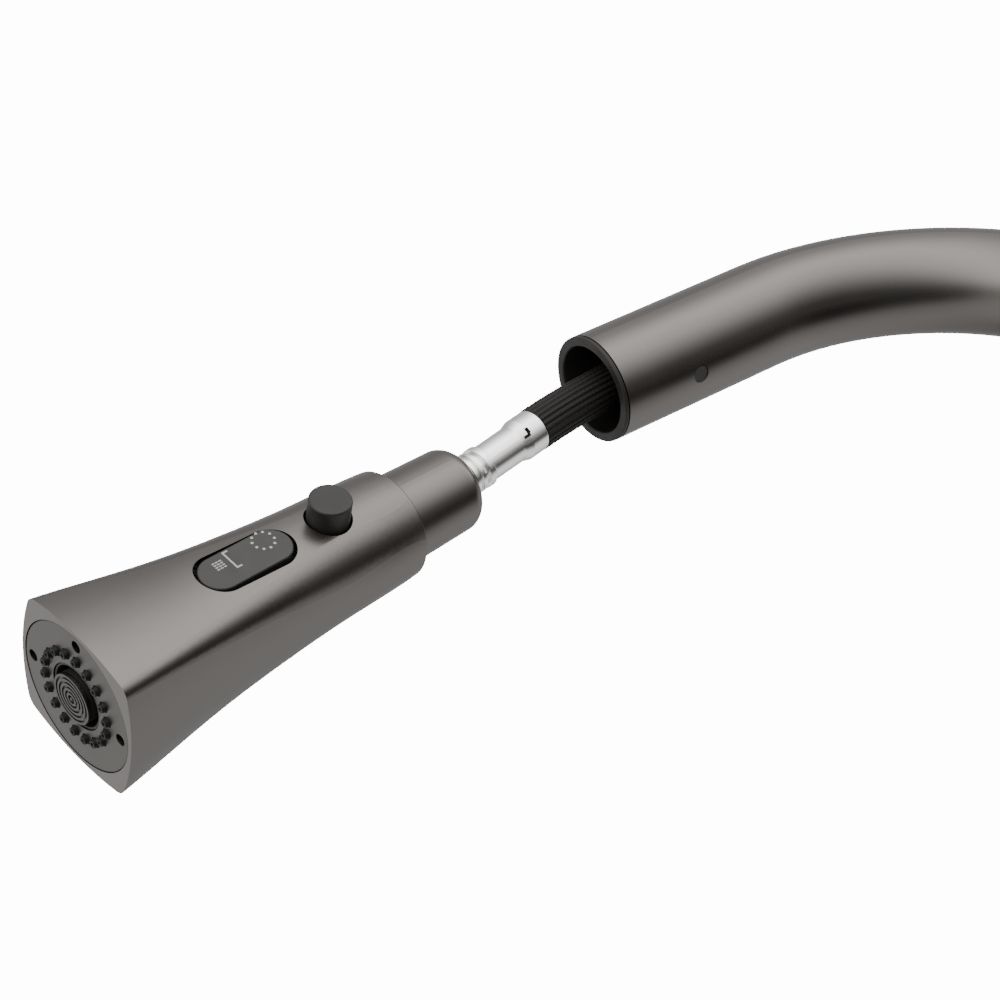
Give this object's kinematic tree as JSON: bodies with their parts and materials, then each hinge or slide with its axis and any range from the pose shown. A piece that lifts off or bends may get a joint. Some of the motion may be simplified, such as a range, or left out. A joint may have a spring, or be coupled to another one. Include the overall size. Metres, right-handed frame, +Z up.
{
  "type": "pull down kitchen faucet",
  "caption": "Single-lever gooseneck kitchen faucet with a spray head pulled out of its spout on a braided hose.",
  "frame": {"origin": "centre of the shank where the base gasket rests on the deck", "axes": "+Z up, the spout points to -Y, the lever is on the +X side"},
  "size_m": [0.0886, 0.2937, 0.7384],
  "materials": {
    "gunmetal": "satin gunmetal coating",
    "head_gunmetal": "satin gunmetal coating",
    "face_grey": "fine satin",
    "dark_ring": "satin",
    "side_plug_dark": "satin",
    "rocker_grey": "satin",
    "button_grey": "satin",
    "black_rubber": "matte",
    "aerator_black": "moulded",
    "aerator_grey": "fine satin",
    "ferrule_metal": "polished",
    "steel": "brushed",
    "brass": "machined",
    "magnet": "matte",
    "white_plastic": "moulded",
    "grey_plastic": "moulded",
    "ceramic_white": "lapped",
    "braid_black": "woven nylon braid"
  },
  "bodies": {
    "root": {"base_gasket": "black_rubber", "base_ring": "gunmetal", "body_shell": "gunmetal", "valve_block": "brass", "shank": "brass", "rubber_washer": "black_rubber", "metal_washer": "steel", "mounting_nut": "brass", "nut_screws": "steel", "cartridge_housing": "white_plastic", "fixed_ceramic_disc": "ceramic_white", "cartridge_nut": "brass", "bonnet_ring": "gunmetal", "swivel_bush_upper": "dark_ring", "swivel_bush_lower": "dark_ring", "thrust_ring": "dark_ring", "glide_washer": "dark_ring", "outlet_tube": "brass", "quick_connector": "grey_plastic", "connector_clip": "grey_plastic", "hose_loop": "braid_black", "hose_weight_front": "steel", "hose_weight_back": "steel"},
    "mixer": {"cartridge_stem": "white_plastic", "moving_ceramic_disc": "ceramic_white"},
    "lever": {"lever_ball": "gunmetal", "lever_hub": "gunmetal", "lever_arm": "gunmetal", "lever_set_screw": "steel", "lever_index_cap": "dark_ring"},
    "spout": {"spout_tube": "gunmetal", "side_plug": "side_plug_dark", "mouth_insert": "dark_ring", "dock_magnet": "magnet", "spout_spigot": "brass", "spout_collar": "gunmetal", "hose_spout_length": "braid_black"},
    "hose_reach": {"hose_pull_length": "braid_black", "hose_ferrule": "ferrule_metal", "hose_nipple": "brass"},
    "ball_seat": {"hose_washer": "black_rubber"},
    "spray_head": {"aerator_housing": "aerator_black", "aerator_insert": "white_plastic", "aerator_screen": "aerator_grey", "check_valve": "white_plastic", "diverter_housing": "white_plastic", "dock_steel_ring": "steel", "face_plate": "face_grey", "face_seal": "black_rubber", "flow_funnel": "white_plastic", "head_shell": "head_gunmetal", "neck_collar": "head_gunmetal", "nozzle_mat": "black_rubber", "pause_spring": "steel", "pause_valve_body": "white_plastic", "rocker_pin": "steel"},
    "button": {"pause_button": "button_grey", "pause_plunger": "steel"},
    "rocker": {"mode_rocker": "rocker_grey"},
    "paddle": {"diverter_paddle": "white_plastic"}
  },
  "joints": [
    {"name": "spout_swivel", "type": "hinge", "parent": "root", "child": "spout", "pos_m": [0, 0, 0.097], "axis": [0, 0, 1], "range_deg": [-60, 60]},
    {"name": "lever_mix", "type": "hinge", "parent": "root", "child": "mixer", "pos_m": [0.038, 0, 0.055], "axis": [1, 0, 0], "range_deg": [-45, 45]},
    {"name": "lever_flow", "type": "hinge", "parent": "mixer", "child": "lever", "pos_m": [0.038, 0, 0.055], "axis": [0, 1, 0], "range_deg": [0, 20]},
    {"name": "hose_reach", "type": "hinge", "parent": "spout", "child": "hose_reach", "pos_m": [-0.09697, 0.02899, 0.12445], "axis": [0.9262, 0.2802, -0.2523], "range_deg": [-16.57, 10], "deforming": ["hose_pull_length", "hose_spout_length"]},
    {"name": "ball_tilt", "type": "hinge", "parent": "hose_reach", "child": "ball_seat", "pos_m": [-0.00403, -0.18973, 0.22269], "axis": [0.5574, 0.7135, -0.4246], "range_deg": [-6.32, 10.34]},
    {"name": "head_swivel", "type": "hinge", "parent": "ball_seat", "child": "spray_head", "pos_m": [-0.0034, -0.19832, 0.20908], "axis": [0.039, -0.5333, -0.845], "continuous": true},
    {"name": "pause_press", "type": "slide", "parent": "spray_head", "child": "button", "axis": [-0.9464, -0.2912, 0.1401], "range_m": [0, 0.002], "stiffness_N_per_m": 1200, "springref_m": -0.001},
    {"name": "mode_rock", "type": "hinge", "parent": "spray_head", "child": "rocker", "pos_m": [0.00779, -0.22034, 0.16823], "axis": [0.3208, -0.7942, 0.5161], "range_deg": [-4, 4]},
    {"name": "paddle_tip", "type": "hinge", "parent": "spray_head", "child": "paddle", "pos_m": [-0.00354, -0.2229, 0.17134], "axis": [0.3208, -0.7942, 0.5161], "range_deg": [-4, 4]}
  ],
  "couplings": [
    {"joint": "ball_tilt", "follows": "hose_reach", "ratio": -0.61159},
    {"joint": "paddle_tip", "follows": "mode_rock", "ratio": -0.8}
  ]
}
